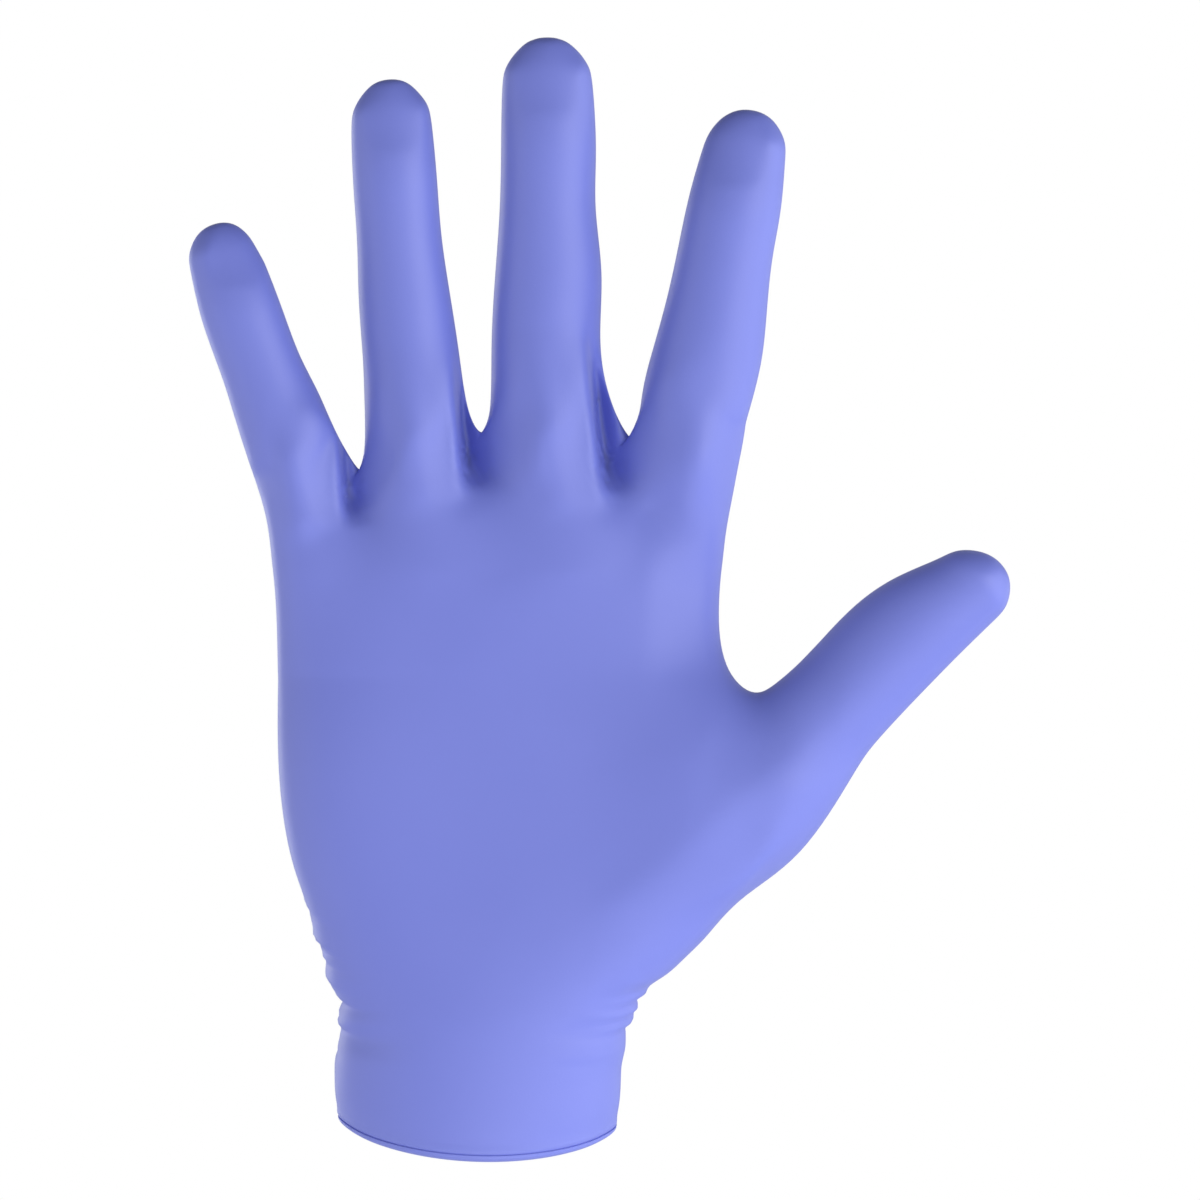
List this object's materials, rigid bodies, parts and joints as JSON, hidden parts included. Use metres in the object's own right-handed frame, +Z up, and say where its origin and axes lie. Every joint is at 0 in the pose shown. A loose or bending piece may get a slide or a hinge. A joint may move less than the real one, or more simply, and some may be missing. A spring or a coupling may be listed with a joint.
{
  "type": "nitrile exam glove",
  "caption": "Thin dipped film glove in its worn shape, with spread fingers, a short crumpled cuff and a rolled bead at its mouth.",
  "frame": {"origin": "middle of the cuff's mouth, where the wrist goes in", "axes": "+Z up along the fingers, +X to the thumb side, -Y out of the palm, +Y out of the back of the hand"},
  "size_m": [0.1707, 0.0537, 0.234],
  "materials": {
    "nitrile_film": "satin"
  },
  "bodies": {
    "root": {"nitrile_glove": "nitrile_film"}
  },
  "joints": []
}
